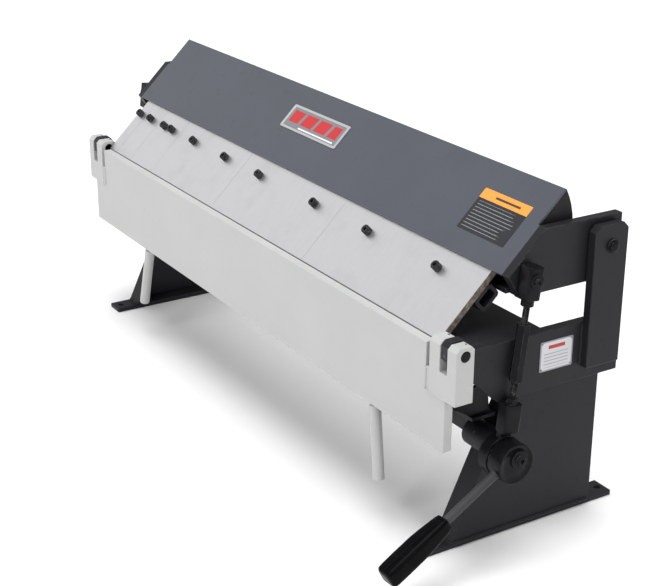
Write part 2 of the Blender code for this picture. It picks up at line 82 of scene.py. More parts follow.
PIVOT = side_view(JOINTS["beam_lift"])
SHAFT = side_view(JOINTS["right_lever_turn"])
YOKE = side_view(JOINTS["right_link_swing"])
THROW = np.array((-2.8, -6.5))
CAM = SHAFT + THROW
LINK_X = abs(JOINTS["right_link_swing"][0]) / MM
BEND_Z = BEND[2] / MM
SLOPE = math.radians(44.1)
print("pivot", PIVOT, "eccentric shaft", SHAFT, "link top", YOKE)

# %% [markdown]
# ## Surfaces from rings
#
# Nearly every new piece here is a stack of closed rings: a screw head, a hub, a bar, a moulded
# grip. If ring i has its points at angle j, the whole piece is one array, and four neighbours in
# it make one face. Blender's cylinder and screw tools could make the same shapes, but one
# function of two parameters covers them all, with any profile.

# %% A mesh from an array of rings


def unit(v):
    return np.asarray(v, float) / np.linalg.norm(v)


def square_to(axis):
    """Two unit vectors square to the axis and to each other, turning right-handed about it."""
    axis = unit(axis)
    first = unit(np.cross(axis, (1.0, 0.0, 0.0) if abs(axis[0]) < 0.9 else (0.0, 0.0, 1.0)))
    return first, np.cross(axis, first)


def mesh_piece(name, points, faces, smooth_below=40.0):
    """A mesh object at the origin; edges flatter than smooth_below degrees are shaded smooth."""
    mesh = bpy.data.meshes.new(name)
    mesh.from_pydata(points.tolist(), [], faces)
    mesh.polygons.foreach_set("use_smooth", np.ones(len(mesh.polygons), dtype=bool))
    mesh.set_sharp_from_angle(angle=math.radians(smooth_below))
    mesh.update()
    piece = bpy.data.objects.new(name, mesh)
    bpy.context.scene.collection.objects.link(piece)
    return piece


def ring_faces(rows, cols, start=0, loop=False):
    """Faces of a stack of rings, closed round each ring; a loop runs on into its first ring, and any
    other stack is capped on a middle point at each end."""
    i, j = np.meshgrid(np.arange(rows if loop else rows - 1), np.arange(cols), indexing="ij")
    k = (j + 1) % cols
    n = (i + 1) % rows
    quads = np.stack([i * cols + j, i * cols + k, n * cols + k, n * cols + j], axis=-1)
    if loop:
        return (quads.reshape(-1, 4) + start).tolist()
    a = np.arange(cols)
    b = (a + 1) % cols
    low = np.full(cols, rows * cols)
    high = low + 1
    top = (rows - 1) * cols
    caps = np.vstack([np.stack([low, b, a], axis=1), np.stack([high, top + a, top + b], axis=1)])
    return (quads.reshape(-1, 4) + start).tolist() + (caps + start).tolist()


def ringed(name, shells, smooth_below=40.0):
    """One piece from one or more stacks of rings, each an array of rows x cols x 3. A stack whose
    last ring repeats its first is a loop, such as a plain ring, and has no end caps."""
    points, faces, start = [], [], 0
    for rings in shells:
        if np.array_equal(rings[0], rings[-1]):
            rings = rings[:-1]
            points.append(rings.reshape(-1, 3))
            faces += ring_faces(*rings.shape[:2], start, loop=True)
            start += len(points[-1])
            continue
        rows, cols = rings.shape[:2]
        middles = np.vstack([rings[0].mean(axis=0), rings[-1].mean(axis=0)])
        points.append(np.vstack([rings.reshape(-1, 3), middles]))
        faces += ring_faces(rows, cols, start)
        start += rows * cols + 2
    return mesh_piece(name, np.vstack(points), faces, smooth_below)


# %% [markdown]
# ## Turned work
#
# A lathe makes a shape from a profile: how far along the axis, and how large a radius there.
# A socket or a nut is the same profile on a ring with six flats, so each profile point also says
# how much of the hexagon to take. Sharp corners are doubled with a small rounding, because real
# corners catch a line of light.

# %% Profiles and turned rings
RING = 64


def angles(n=RING):
    return 2.0 * np.pi * np.arange(n) / n


def six_sided(angle):
    """Radius of a hexagon whose corners are at 1: cos 30 over the cosine to the nearest flat."""
    near = np.mod(angle, np.pi / 3.0) - np.pi / 6.0
    return math.cos(math.pi / 6.0) / np.cos(near)


def turned(start, axis, profile, n=RING, turn=0.0):
    """Rings about an axis: point = start + axis * distance + radius(angle) * direction(angle).

    Each profile row is (distance, radius) or (distance, radius, sixness) in millimetres.
    """
    rows = np.array([tuple(row) + (0.0,) * (3 - len(row)) for row in profile])
    first, second = square_to(axis)
    a = angles(n)
    direction = np.outer(np.cos(a + turn), first) + np.outer(np.sin(a + turn), second)
    radius = rows[:, 1:2] * (1.0 + rows[:, 2:3] * (six_sided(a)[None, :] - 1.0))
    along = rows[:, 0][:, None, None] * unit(axis)[None, None, :]
    return start + MM * (along + radius[:, :, None] * direction[None, :, :])


def rounded(d0, d1, radius, edge=0.6, steps=4):
    """Profile of a plain length whose two corners are quarter circles of the edge radius."""
    q = np.linspace(0.0, np.pi / 2.0, steps + 1)
    rise = [(d0 + edge * (1 - math.sin(t)), radius - edge * (1 - math.cos(t))) for t in q[::-1]]
    fall = [(d1 - edge * (1 - math.sin(t)), radius - edge * (1 - math.cos(t))) for t in q]
    return rise + fall


print("profile helpers ready,", RING, "points to a ring")

# %% [markdown]
# ## Forged and moulded sections
#
# Blocks, grips and weld beads are not round. A superellipse covers them: with power 2 it is a
# circle, with power 8 a square with soft corners. The section is carried along a path, and its
# two half sizes may change on the way, which gives tapers, swellings and closed ends.

# %% Sections carried along a path


def superellipse(angle, power):
    """(cos, sin) pushed out to the curve |x|^p + |y|^p = 1."""
    c, s = np.cos(angle), np.sin(angle)
    stretch = (np.abs(c) ** power + np.abs(s) ** power) ** (-1.0 / power)
    return c * stretch, s * stretch


def carried(path, half_a, half_b, across, power=2.0, n=RING, turn=0.0):
    """Rings of half_a by half_b millimetres round each path point; half_a lies along `across`.

    Ring point = path + across * half_a * X(angle) + up * half_b * Y(angle), X and Y a superellipse.
    """
    path = np.asarray(path, float)
    step = np.gradient(path, axis=0)
    step /= np.linalg.norm(step, axis=1)[:, None]
    across = across - step * (step @ np.asarray(across, float))[:, None]
    across /= np.linalg.norm(across, axis=1)[:, None]
    up = np.cross(step, across)
    x, y = superellipse(angles(n) + turn, power)
    a = MM * np.broadcast_to(half_a, len(path))[:, None, None]
    b = MM * np.broadcast_to(half_b, len(path))[:, None, None]
    sideways = a * x[None, :, None] * across[:, None, :]
    return path[:, None, :] + sideways + b * y[None, :, None] * up[:, None, :]


def block_rings(start, axis, length, half_a, half_b, across, edge=1.2, power=9.0, steps=4):
    """A block whose four long edges and two ends are rounded by the edge radius."""
    profile = np.array(rounded(0.0, length, 0.0, edge, steps))
    shrink = profile[:, 1]
    path = start + MM * profile[:, 0:1] * unit(axis)[None, :]
    path[0] -= unit(axis) * 1e-7
    path[-1] += unit(axis) * 1e-7
    return carried(path, half_a + shrink, half_b + shrink, across, power)


def thread_rings(start, axis, length, radius, pitch=1.5, depth=0.55, n=40):
    """A screw thread: the radius dips by the depth, as a wave of distance / pitch - angle / turn."""
    d = np.linspace(0.0, length, int(length / pitch * 8))
    a = angles(n)
    phase = np.mod(d[:, None] / pitch - a[None, :] / (2 * np.pi), 1.0)
    radius = radius - depth * (1.0 - np.abs(2.0 * phase - 1.0))
    first, second = square_to(axis)
    direction = np.outer(np.cos(a), first) + np.outer(np.sin(a), second)
    return start + MM * (d[:, None, None] * unit(axis) + radius[:, :, None] * direction[None, :, :])


print("a block has", block_rings(at(0, 0, 0), (0, 0, 1), 20, 5, 5, (1, 0, 0)).shape, "points")

# %% [markdown]
# ## Writing shader maths as sums
#
# A finish is a small formula: darker where the noise is high, brighter on the edges. Wiring that
# by hand takes many nodes, so a socket is wrapped in a class that understands +, - and *. The
# formula is then written as a sum, and each sign adds its Math node.

# %% The finish writer


class Level:
    """One changing number in a finish; arithmetic on it adds Math nodes."""

    def __init__(self, finish, socket):
        self.finish = finish
        self.socket = socket

    def _with(self, operation, a, b):
        return self.finish.level("ShaderNodeMath", {"operation": operation}, {0: a, 1: b})

    def __add__(self, other):
        return self._with("ADD", self, other)

    def __sub__(self, other):
        return self._with("SUBTRACT", self, other)

    def __rsub__(self, other):
        return self._with("SUBTRACT", other, self)

    def __mul__(self, other):
        return self._with("MULTIPLY", self, other)

    def __gt__(self, other):
        return self._with("GREATER_THAN", self, other)

    def __lt__(self, other):
        return self._with("LESS_THAN", self, other)

    def __abs__(self):
        return self._with("ABSOLUTE", self, 0.0)

    def max(self, other):
        return self._with("MAXIMUM", self, other)

    def min(self, other):
        return self._with("MINIMUM", self, other)

    __radd__ = __add__
    __rmul__ = __mul__


class Finish:
    """A material with one Principled shader, and one method that adds any other node."""

    def __init__(self, name, colour, rough, metal=0.0, **fixed):
        self.material = bpy.data.materials.new(name)
        self.material.use_nodes = True
        self.tree = self.material.node_tree
        self.shader = self.tree.nodes["Principled BSDF"]
        self.set("Base Color", (*colour, 1.0))
        self.set("Roughness", rough)
        self.set("Metallic", metal)
        for key, value in fixed.items():
            self.set(key.replace("_", " "), value)
        self.material.diffuse_color = (*colour, 1.0)

    def put(self, socket, value):
        value = getattr(value, "socket", value)
        if isinstance(value, bpy.types.NodeSocket):
            self.tree.links.new(value, socket)
        elif getattr(socket, "type", "") == "RGBA" and len(value) == 3:
            socket.default_value = (*value, 1.0)
        else:
            socket.default_value = value

    def set(self, name, value):
        self.put(self.shader.inputs[name], value)

    def add(self, kind, settings=None, inputs=None):
        node = self.tree.nodes.new(kind)
        for key, value in (settings or {}).items():
            setattr(node, key, value)
        for key, value in (inputs or {}).items():
            self.put(node.inputs[key], value)
        return node

    def level(self, kind, settings=None, inputs=None, out=0):
        return Level(self, self.add(kind, settings, inputs).outputs[out])

    # words for the nodes that every finish here uses

    def place(self, name="Object"):
        return self.add("ShaderNodeTexCoord").outputs[name]

    def axis(self, letter, source="Object"):
        return self.level("ShaderNodeSeparateXYZ", None, {0: self.place(source)}, "XYZ".index(letter))

    def stretched(self, scale):
        return self.add("ShaderNodeMapping", None, {"Vector": self.place(), "Scale": scale}).outputs[0]

    def noise(self, scale, detail=3.0, rough=0.5, where=None):
        inputs = {"Vector": where or self.place(), "Scale": scale, "Detail": detail, "Roughness": rough}
        return self.level("ShaderNodeTexNoise", None, inputs)

    def ease(self, value, low, high):
        """0 below low, 1 above high, and smooth between them."""
        inputs = {"Value": value, "From Min": low, "From Max": high}
        return self.level("ShaderNodeMapRange", {"interpolation_type": "SMOOTHSTEP"}, inputs)

    def blend(self, factor, a, b):
        node = self.add("ShaderNodeMix", {"data_type": "RGBA"})
        colours = [s for s in node.inputs if s.type == "RGBA"]
        self.put(node.inputs[0], factor)
        self.put(colours[0], a)
        self.put(colours[1], b)
        return [s for s in node.outputs if s.type == "RGBA"][0]

    def edges(self, width):
        """1 on a sharp edge, 0 on the flats: how far a softened normal leans from the true one."""
        soft = self.add("ShaderNodeBevel", {"samples": 4}, {"Radius": width * MM}).outputs[0]
        true = self.add("ShaderNodeNewGeometry").outputs["Normal"]
        lean = self.level("ShaderNodeVectorMath", {"operation": "DOT_PRODUCT"}, {0: soft, 1: true}, 1)
        return 1.0 - self.ease(lean, 0.72, 0.985)

    def relief(self, height, depth, normal=None):
        """Bump of the height, depth in millimetres, on top of another normal if one is given."""
        inputs = {"Height": height, "Distance": depth * MM, "Strength": 1.0}
        if normal is not None:
            inputs["Normal"] = normal
        self.set("Normal", self.add("ShaderNodeBump", None, inputs).outputs[0])


print("finish writer ready")

# %% [markdown]
# ## Enamel on steel plate
#
# The frame and the beam are sprayed with a semi-gloss enamel. Close up it has a faint orange
# peel, soft patches where it went on thicker, and a lighter colour on the corners: on the charcoal and
# slate that is bare steel where handling has rubbed the paint, and on the white it is a painted
# highlight, a bluish white brighter than the paint. One function writes all three enamels; colour,
# edge wear and, on the white, the painted highlight are its only choices.

# %% Charcoal, slate and white enamel


def enamel(name, colour, edge_wear_and_highlight, rough, wear=0.5, peel=0.035, patch=0.10, shine=0.4):
    f = Finish(name, colour, rough, 0.0, Specular_IOR_Level=shine)
    cloud = f.noise(9.0, 4.0, 0.55)
    grain = f.noise(420.0, 2.0)
    speck = f.noise(60.0, 3.0, 0.7)
    dark = tuple(c * (1.0 - patch) for c in colour)
    light = tuple(min(c * (1.0 + patch), 0.95) for c in colour)
    base = f.blend(f.ease(cloud, 0.3, 0.7), dark, light)
    # The edge mark: rubbed-through bare steel on the charcoal and slate, a painted highlight on the white.
    rub = f.edges(1.1) * f.ease(speck, 0.42, 0.62) * wear
    f.set("Base Color", f.blend(rub, base, edge_wear_and_highlight))
    f.set("Roughness", rough - 0.08 + 0.16 * cloud + 0.12 * f.ease(speck, 0.55, 0.75))
    f.relief(grain + 0.6 * f.noise(130.0, 2.0), peel)
    return f.material


CHARCOAL = enamel("charcoal enamel", (0.015, 0.0155, 0.018), (0.18, 0.19, 0.21), 0.46, 0.5,
                  shine=0.2)
SLATE = enamel("slate enamel", (0.066, 0.073, 0.090), (0.34, 0.36, 0.39), 0.44, 0.35, 0.02, 0.05)
# The white's edge colour, bluish and brighter than its paint, is a painted highlight along its edges.
WHITE = enamel("white enamel", (0.462, 0.470, 0.463), (0.76, 0.83, 0.82), 0.40, 0.25, 0.05, 0.025)
print("enamels", CHARCOAL.name, SLATE.name, WHITE.name)

# %% [markdown]
# ## Ground finger steel
#
# The fingers are ground flat, so their faces carry fine scratches that run one way, with a few
# dull patches where oil has dried. Their sawn ends keep the brown mill scale. Stretching a noise
# along the grinding direction gives the scratches; the scale is chosen by how far out x is.

# %% Ground steel with scale on the outer ends


def ground_steel(half_width):
    f = Finish("ground finger steel", (0.60, 0.60, 0.61), 0.34, 1.0)
    scratch = f.noise(1.0, 3.0, 0.6, f.stretched((900.0, 40.0, 40.0)))
    fine = f.noise(1.0, 2.0, 0.5, f.stretched((90.0, 1400.0, 1400.0)))
    stain = f.ease(f.noise(22.0, 5.0, 0.6), 0.46, 0.74)
    bright = f.blend(scratch, (0.62, 0.62, 0.64), (0.72, 0.72, 0.74))
    dull = f.blend(stain * 0.3, bright, (0.54, 0.54, 0.55))
    outside = abs(f.axis("X")) > half_width - 0.0004
    scale = f.blend(f.ease(f.noise(160.0, 4.0, 0.7), 0.35, 0.65), (0.10, 0.075, 0.055), (0.24, 0.21, 0.18))
    f.set("Base Color", f.blend(outside, dull, scale))
    f.set("Metallic", 1.0 - 0.75 * outside)
    f.set("Roughness", 0.36 + 0.06 * scratch + 0.06 * fine + 0.08 * stain + 0.25 * outside)
    f.relief(scratch + fine, 0.006)
    return f.material


LOW_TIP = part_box("finger_01_inch")[0]
FINGER_STEEL = ground_steel(abs(LOW_TIP[0]))
print("fingers end at x =", round(abs(LOW_TIP[0]), 4))

# %% [markdown]
# ## Small steel and moulded black
#
# Screws, links and hubs are blackened steel: nearly black, a little oily, and bright on the
# corners a spanner touches. The lever grips are a hard moulded plastic, with a fine sheen.

# %% Blackened steel, turned steel, moulded black


def blackened(name="blackened steel", rough=0.34, wear=0.6, colour=(0.006, 0.006, 0.007)):
    f = Finish(name, colour, rough, 0.0, Specular_IOR_Level=0.09)
    speck = f.noise(180.0, 3.0, 0.6)
    rub = f.edges(0.7) * f.ease(speck, 0.40, 0.6) * wear
    oily = f.ease(f.noise(40.0, 3.0), 0.4, 0.65)
    dulled = f.blend(oily, colour, tuple(1.7 * c for c in colour))
    f.set("Base Color", f.blend(rub, dulled, (0.42, 0.41, 0.40)))
    f.set("Roughness", rough - 0.06 + 0.16 * oily)
    f.relief(speck, 0.02)
    return f.material


def moulded_black():
    f = Finish("moulded black", (0.004, 0.004, 0.005), 0.24, 0.0, Specular_IOR_Level=0.04)
    grain = f.noise(700.0, 2.0)
    scuff = f.ease(f.noise(55.0, 4.0, 0.7), 0.52, 0.72)
    f.set("Base Color", f.blend(scuff, (0.002, 0.002, 0.0025), (0.005, 0.005, 0.0055)))
    f.set("Roughness", 0.22 + 0.2 * scuff)
    f.relief(grain, 0.012)
    return f.material


def turned_steel():
    f = Finish("turned steel", (0.30, 0.30, 0.31), 0.3, 1.0)
    rings = f.noise(1.0, 2.0, 0.5, f.stretched((1600.0, 60.0, 60.0)))
    rust = f.ease(f.noise(90.0, 4.0, 0.7), 0.56, 0.72)
    f.set("Base Color", f.blend(rust * 0.6, f.blend(rings, (0.20, 0.20, 0.21), (0.42, 0.42, 0.43)),
                                (0.10, 0.055, 0.03)))
    f.set("Roughness", 0.26 + 0.15 * rings + 0.3 * rust)
    f.relief(rings, 0.006)
    return f.material


BLACK_STEEL = blackened()
SCREW_BLACK = blackened("black screw", 0.40, 1.0, (0.020, 0.020, 0.022))
GLOSS_HUB = blackened("glossy black hub", 0.24, 0.8, (0.006, 0.006, 0.007))
BAR_PAINT = enamel("rough bar paint", (0.050, 0.051, 0.056), (0.16, 0.16, 0.17), 0.55, 0.6, 0.09, 0.25, 0.2)
GRIP_BLACK = moulded_black()
PIN_STEEL = turned_steel()
print("small parts", BLACK_STEEL.name, PIN_STEEL.name, GRIP_BLACK.name)

# %% [markdown]
# ## Finishes on the imported plates
#
# The plates, bars and folded sheets of the imported model are already right, with their cut-outs
# and softened corners, so they stay and only take a finish. The record names a slot for each
# node, and one dictionary maps a slot to its material. The beam's back plate, floor plate, arms,
# ends and clamp tube take the darker charcoal in place of their slot's slate enamel: painted shade
# for the shade under and behind the beam.

# %% Give each imported node its finish
BY_SLOT = {
    "dark_enamel": CHARCOAL, "beam_enamel": SLATE, "white_enamel": WHITE, "finger_steel": FINGER_STEEL,
    "pin_steel": PIN_STEEL, "black_steel": BLACK_STEEL, "black_grip": GRIP_BLACK,
}
# Beam parts painted charcoal instead of their slate enamel: painted shade under and behind the beam.
PAINTED_SHADE_NODES = ("finger_clamp_tube", "beam_back_plate", "beam_floor_plate", "left_arm", "right_arm",
                  "left_beam_end", "right_beam_end")
SLOT_OF = {row["node"]: row["material_slot"] for row in frame["record"]["subparts"]}
for node, slot in SLOT_OF.items():
    coat = CHARCOAL if node in PAINTED_SHADE_NODES else BY_SLOT[slot]
    frame["nodes"][node].data.materials.clear()
    frame["nodes"][node].data.materials.append(coat)
print(len(SLOT_OF), "nodes finished")


# %% One call to hand a piece over
def fit(piece, material, body, slot, *stands_for):
    """Give a piece its finish, the body it moves with, and the nodes it stands for; the slot is not used."""
    piece.data.materials.append(material)
    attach(piece, body)
    if stands_for:
        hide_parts(*stands_for)
    return piece

# %% [markdown]
# ## Finger screws
#
# Ten socket cap screws hold the fingers. A real head is a knurled cylinder with a chamfer round
# its hexagon socket. The profile runs up the outside, over the rim, and back down inside with
# its hexagon share at 1; the knurl is a ripple of the outer radius with the angle.

# %% Screw heads, washers and shanks
HEAD_R = 5.6
HEAD_TOP = 9.0


def socket_profile(r, low, top, key, depth):
    """Outside of a cap screw's head, its rounded rim, and the six-sided socket going back down."""
    rim = [(top - 0.7 * (1 - math.sin(t)), r - 0.7 * (1 - math.cos(t))) for t in np.linspace(0, np.pi / 2, 5)]
    floor = top - depth
    wall = [(top, key + 0.5), (top - 0.5, key, 1.0), (floor, key * 0.98, 1.0), (floor - 0.5, 0.3, 1.0)]
    return [(low, r - 0.5), (low + 0.4, r)] + rim + wall


def cap_screw(name, start, axis, r, low, top, key, depth, knurl=0.13, below=None, n=96):
    profile = socket_profile(r, low, top, key, depth)
    rings = turned(start, axis, profile, n)
    middle = start + MM * np.array([row[0] for row in profile])[:, None, None] * unit(axis)
    ripple = 1.0 + knurl / r * np.cos(angles(n) * n / 3.0)[None, :, None]
    outer = np.array([0.0, 1.0, 1.0] + [0.0] * (len(profile) - 3))[:, None, None]
    rings = np.where(outer > 0, middle + (rings - middle) * ripple, rings)
    return ringed(name, [rings] + (below or []), 32.0)


SCREWS = [n for n in SLOT_OF if n.startswith("finger_screw_")]
NORMAL = np.array((0.0, -math.sin(SLOPE), math.cos(SLOPE)))
for node in SCREWS:
    low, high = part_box(node)
    # the head's rim touches the front and the top of the node's box, so they give its seat
    seat = np.array(((low[0] + high[0]) / 2, low[1], high[2]))
    seat[1] += MM * (HEAD_R * math.cos(SLOPE) + HEAD_TOP * math.sin(SLOPE))
    seat[2] -= MM * (HEAD_R * math.sin(SLOPE) + HEAD_TOP * math.cos(SLOPE))
    shank = turned(seat, NORMAL, [(-18.5, 0.1), (-18.5, 2.6), (-17.9, 3.0), (0.4, 3.0), (0.4, 0.1)], 24)
    nut = turned(seat, NORMAL, [(-17.5, 3.2), (-17.5, 7.2, 1.0), (-13.0, 7.2, 1.0), (-13.0, 3.2)], 24)
    head = cap_screw(node + "_head", seat, NORMAL, HEAD_R, 0.1, HEAD_TOP, 3.1, 4.4, below=[shank, nut])
    fit(head, SCREW_BLACK, "clamp_beam", "black_steel", node)
print(len(SCREWS), "finger screws")

# %% [markdown]
# ## Hinge pins, pivot pins and pull bars
#
# These are plain turned bars. The pivot pins end in a groove with a spring clip; the pull bars
# under the leaf are painted and have well rounded ends.

# %% Pins and pull bars


def from_box(node, axis):
    """Start point, length and radius in millimetres of a round bar that lies along a world axis."""
    low, high = (np.array(c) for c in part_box(node))
    k = "XYZ".index(axis)
    start = (low + high) / 2
    start[k] = low[k]
    other = (k + 1) % 3
    return start, (high[k] - low[k]) / MM, (high[other] - low[other]) / 2 / MM


for side, s in SIDES.items():
    start, length, r = from_box(side + "_hinge_pin", "X")
    pin = ringed(side + "_hinge_pin_turned", [turned(start, (1, 0, 0), rounded(0.05, length - 0.05, r, 0.7))])
    fit(pin, BLACK_STEEL, "leaf", "pin_steel", side + "_hinge_pin")

    start, length, r = from_box(side + "_pivot_pin", "X")
    outer = start + np.array((length * MM if s > 0 else 0.0, 0.0, 0.0))
    inward = np.array((-s, 0.0, 0.0))
    tail = [(length - 0.6, r), (length - 0.1, r - 0.5)]
    groove = [(3.6, r), (3.65, r - 1.2), (4.9, r - 1.2), (4.95, r)] + tail
    dome = [(0.05, 0.6), (0.12, 0.5 * r), (0.4, 0.84 * r), (0.9, r)]
    body = turned(outer, inward, dome + groove)
    spring = [(3.75, r - 1.4), (3.75, r + 2.2), (4.2, r + 2.5), (4.8, r + 2.2), (4.8, r - 1.4)]
    clip = turned(outer, inward, spring)
    pivot = ringed(side + "_pivot_pin_turned", [body, clip])
    fit(pivot, BLACK_STEEL, "frame", "black_steel", side + "_pivot_pin")

    node = side + "_leaf_handle"
    low, high = (np.array(c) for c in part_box(node))
    bar_r = 7.5
    lean = np.array((s * 0.199, -0.0555, -1.0))
    tilt = 1.5  # millimetres that the leaning end face stands above its own middle
    top = np.array((low[0] if s > 0 else high[0], high[1], high[2]))
    top += MM * np.array((s * bar_r * 0.98, -bar_r, -tilt))
    path_length = ((high[2] - low[2]) / MM - 2 * tilt) * float(np.linalg.norm(lean))
    bar = ringed(node + "_bar", [turned(top, lean, rounded(0.4, path_length, bar_r, 1.6, 6))])
    fit(bar, WHITE, "leaf", "white_enamel", node)
print("pins and pull bars made")

# %% [markdown]
# ## Links: yoke, turnbuckle and strap
#
# Each clamp link hangs from a forged yoke, runs through a turnbuckle with a thread at both ends,
# and ends in a strap round the eccentric. The forged blocks are superellipse sections with
# rounded ends, the threads are real ridges, and the turnbuckle is a hexagon whose corners are
# cut back by a cone, which is how a lathe chamfers a nut.

# %% Link pieces
FALL = CAM - YOKE
LINK_LENGTH = float(np.linalg.norm(FALL))
DOWN = np.array((0.0, FALL[0], FALL[1])) / LINK_LENGTH
HEX_R = 8.05
SPAN = (53.3, 123.3)            # the turnbuckle, as distances down the link
YOKE_X = (492.2, 511.6)
STRAP_X = (493.4, 510.2)        # the strap's block; its neck is thinner
NECK_X = (493.4, 502.8)
THREAD_R = 4.1
RING_MIDDLE_X = 495.0
RING_HALF = 8.0                 # half the width of the strap's ring
RING_BORE = 19.3
RING_R = 26.0
RING_EDGE = 0.8


def on_link(s, distance, x=None):
    """A point down the link's own line, measured from the yoke's bolt."""
    return at(s * (LINK_X if x is None else x), *YOKE) + MM * distance * DOWN


def link_box(s, x0, x1, half, d0, d1, edge=1.6):
    """A forged block between two x values and two distances down the link."""
    middle = on_link(s, d0, (x0 + x1) / 2)
    return block_rings(middle, DOWN, d1 - d0, (x1 - x0) / 2, half, (1.0, 0.0, 0.0), edge)


def hexagon_nut(s, d0, d1, r, cone=1.6):
    """A hexagon bar whose corners never stand outside a cone at each end."""
    d = np.concatenate([np.linspace(d0, d0 + 3.0, 9), np.linspace(d1 - 3.0, d1, 9)])
    a = angles(96)
    flats = r * six_sided(a)[None, :] * np.ones((len(d), 1))
    cut = r * 0.86 + cone * np.minimum(d - d0, d1 - d)[:, None]
    radius = np.minimum(flats, cut)
    first, second = square_to(DOWN)
    direction = np.outer(np.cos(a), first) + np.outer(np.sin(a), second)
    rings = on_link(s, 0.0) + MM * (d[:, None, None] * DOWN + radius[:, :, None] * direction[None, :, :])
    return rings


for side, s in SIDES.items():
    yoke = link_box(s, *YOKE_X, 10.0, -16.0, 24.0)
    collar = turned(on_link(s, 0.0), DOWN, rounded(20.0, 31.5, 7.6, 0.8))
    thread = thread_rings(on_link(s, 30.0), DOWN, 54.0, THREAD_R)
    piece = ringed(side + "_link_yoke_forged", [yoke, collar, thread])
    fit(piece, BLACK_STEEL, side + "_link", "black_steel", side + "_link_yoke")

    jam = [hexagon_nut(s, SPAN[0] + 0.1, SPAN[1] - 0.1, HEX_R)]
    fit(ringed(side + "_turnbuckle_hexagon", jam, 25.0), BLACK_STEEL, side + "_turnbuckle", "black_steel",
        side + "_turnbuckle")

    block = link_box(s, *STRAP_X, 12.0, 150.8, 186.4)
    neck = link_box(s, *NECK_X, 9.0, 180.0, LINK_LENGTH - 20.0)
    nut = hexagon_nut(s, 144.3, 151.6, 7.0, 1.0)
    thread = thread_rings(on_link(s, 95.0), DOWN, 53.0, THREAD_R)
    flank = [(RING_HALF, RING_BORE), (RING_HALF, RING_R - RING_EDGE), (RING_HALF - RING_EDGE, RING_R)]
    section = [(-x, r) for x, r in flank] + flank[::-1]
    ring = turned(at(s * RING_MIDDLE_X, *CAM), (1.0, 0.0, 0.0), section)
    ring = np.concatenate([ring, ring[:1]])  # back to the first ring, so the bore stays open
    piece = ringed(side + "_link_strap_forged", [block, neck, nut, thread, ring])
    fit(piece, BLACK_STEEL, side + "_link", "black_steel", side + "_link_strap")
print("link length", round(LINK_LENGTH, 1), "mm")

# %% [markdown]
# ## Bolts at the yoke and at the eccentric
#
# Both are shoulder bolts with a plain washer and a small socket head, looked at straight on, so
# their faces matter more than their length.

# %% Shoulder bolts
YOKE_BOLT_X = 512.1
CAM_BOLT_X = 527.3
BOSS_X = (440.0, 485.5)
BOSS_R = 17.5
BOSS_BORE = 6.4


def shoulder_bolt(name, seat, out, washer, shank, head):
    """A cap screw on a washer (thickness, radius, rounding), with a shank (length, radius, chamfer)."""
    thick, washer_r, soft = washer
    length, shank_r, chamfer = shank
    plate = turned(seat, out, [(0.0, 2.0)] + rounded(0.0, thick, washer_r, soft) + [(thick, 2.0)])
    rod = turned(seat, out, [(-length, 0.3), (-length, shank_r - chamfer), (0.6 - length, shank_r),
                             (0.2, shank_r), (0.2, 0.3)], 40)
    return cap_screw(name, seat, out, *head, below=[plate, rod])


def boss_start(s):
    """The boss is turned towards +X on both sides, so it starts at its smaller x."""
    return min(s * x for x in BOSS_X)


for side, s in SIDES.items():
    out = np.array((s, 0.0, 0.0))
    bolt = shoulder_bolt(side + "_yoke_bolt_head", at(s * YOKE_BOLT_X, *YOKE), out, (1.9, 8.9, 0.35),
                         (34.0, 5.0, 0.6), (4.6, 1.6, 6.3, 2.4, 2.6))
    fit(bolt, BLACK_STEEL, "clamp_beam", "pin_steel", side + "_yoke_bolt")

    bolt = shoulder_bolt(side + "_cam_bolt_head", at(s * CAM_BOLT_X, *SHAFT), out, (2.1, 11.5, 0.4),
                         (86.0, 5.95, 0.35), (5.6, 1.8, 7.0, 2.9, 3.0))
    fit(bolt, BLACK_STEEL, "frame", "pin_steel", side + "_cam_bolt")

    length = BOSS_X[1] - BOSS_X[0]
    boss = turned(at(boss_start(s), *SHAFT), (1, 0, 0),
                  [(0.0, BOSS_BORE)] + rounded(0.0, length, BOSS_R, 1.0) + [(length, BOSS_BORE)])
    fit(ringed(side + "_cam_boss_turned", [boss]), CHARCOAL, "frame", "dark_enamel", side + "_cam_boss")
print("bolts made")

# %% [markdown]
# ## Eccentric hubs and lever bars
#
# The hub is a thick turned disc with a raised rim and a shallow dished face. The lever bar is
# welded into its edge. The grip is a hard moulded handle: a rounded square section that swells
# out of a thin neck, with two ridges along it that the light picks out.

# %% Hubs, bars and grips
LEVER_X = 515.5
SPLAY = math.radians(4.3)
BAR_R = 5.4
BAR_START = 18.0                # distances along the lever, from the eccentric's centre
BAR_END = 138.0
BEAD = (22.0, 30.0)
HUB_X = 504.0
HUB_R = 25.0
HUB_DEPTH = 23.0
HUB_EDGE = 0.9
CAM_X = (487.0, 506.0)
CAM_R = 17.0
GRIP_POWER = 5.0                # how square the grip's section is
GRIP_TURN = 0.6
RIDGE_HIGH = 0.28
RIDGE_WIDE = 0.05
REST = {"right": math.radians(206.6), "left": math.radians(70.0)}


def on_lever(side, distance):
    """A point along the lever, from the eccentric's centre; it leans outward by the splay."""
    a = REST[side]
    flat = distance * math.cos(SPLAY)
    x = LEVER_X + (distance - BAR_START) * math.sin(SPLAY)
    return at(SIDES[side] * x, CAM[0] + math.cos(a) * flat, CAM[1] + math.sin(a) * flat)


